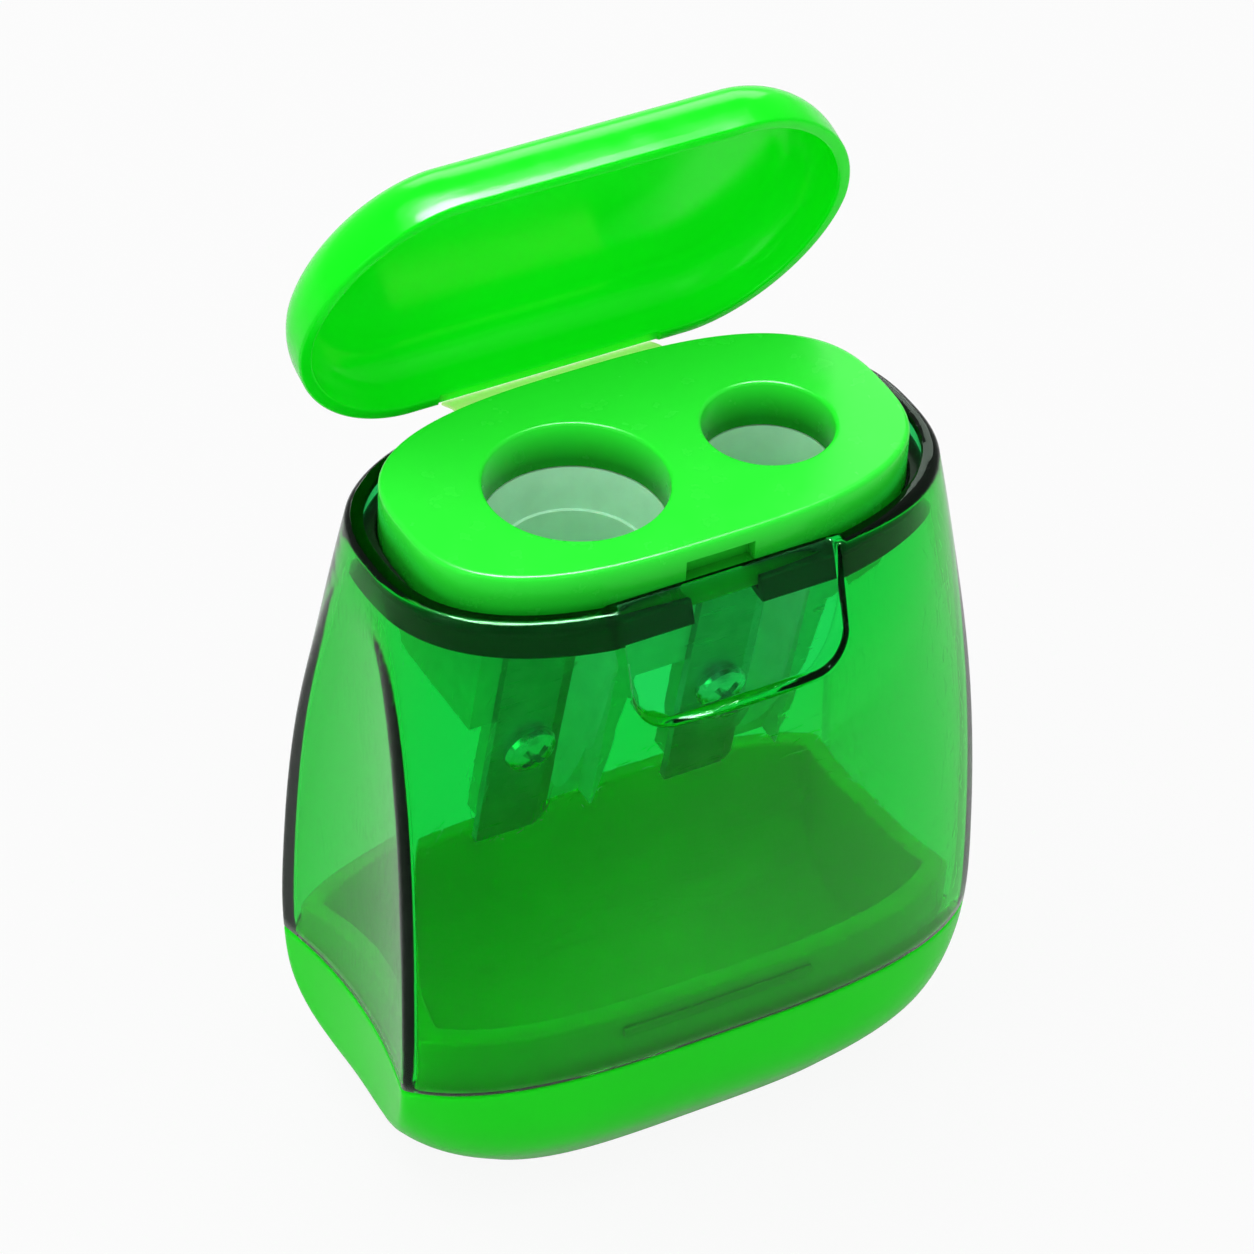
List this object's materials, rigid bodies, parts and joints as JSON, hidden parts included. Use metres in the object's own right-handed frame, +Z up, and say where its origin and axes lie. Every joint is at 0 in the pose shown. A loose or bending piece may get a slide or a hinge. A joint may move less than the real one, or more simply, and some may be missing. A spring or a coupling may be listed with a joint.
{
  "type": "container pencil sharpener",
  "caption": "Pencil sharpener for thin and thick pencils, with a see-through shavings container, a pull-off base and a flip-up lid",
  "frame": {"origin": "centre of the flat foot, on the surface that the sharpener stands on", "axes": "+Z up, +Y to the back where the lid is hinged, +X to the small pencil hole"},
  "size_m": [0.049, 0.0357, 0.0781],
  "materials": {
    "base_plastic": "moulded, polished",
    "clear_plastic": "clear tinted, polished",
    "deck_plastic": "moulded, satin polish",
    "film_plastic": "thin moulded film",
    "lid_plastic": "moulded, polished",
    "block_plastic": "moulded, satin",
    "blade_steel": "ground",
    "screw_steel": "plated"
  },
  "bodies": {
    "base": {"base_cup": "base_plastic"},
    "container": {"container": "clear_plastic", "deck": "deck_plastic", "hinge_film": "film_plastic", "sharpener_block": "block_plastic", "blade_large": "blade_steel", "blade_small": "blade_steel", "screw_large": "screw_steel", "screw_small": "screw_steel"},
    "lid": {"lid": "lid_plastic"}
  },
  "joints": [
    {"name": "container_lift", "type": "slide", "parent": "base", "child": "container", "axis": [0, 0, 1], "range_m": [0, 0.02]},
    {"name": "lid_hinge", "type": "hinge", "parent": "container", "child": "lid", "pos_m": [0, 0.0133, 0.0524], "axis": [1, 0, 0], "range_deg": [-35, 71]}
  ]
}
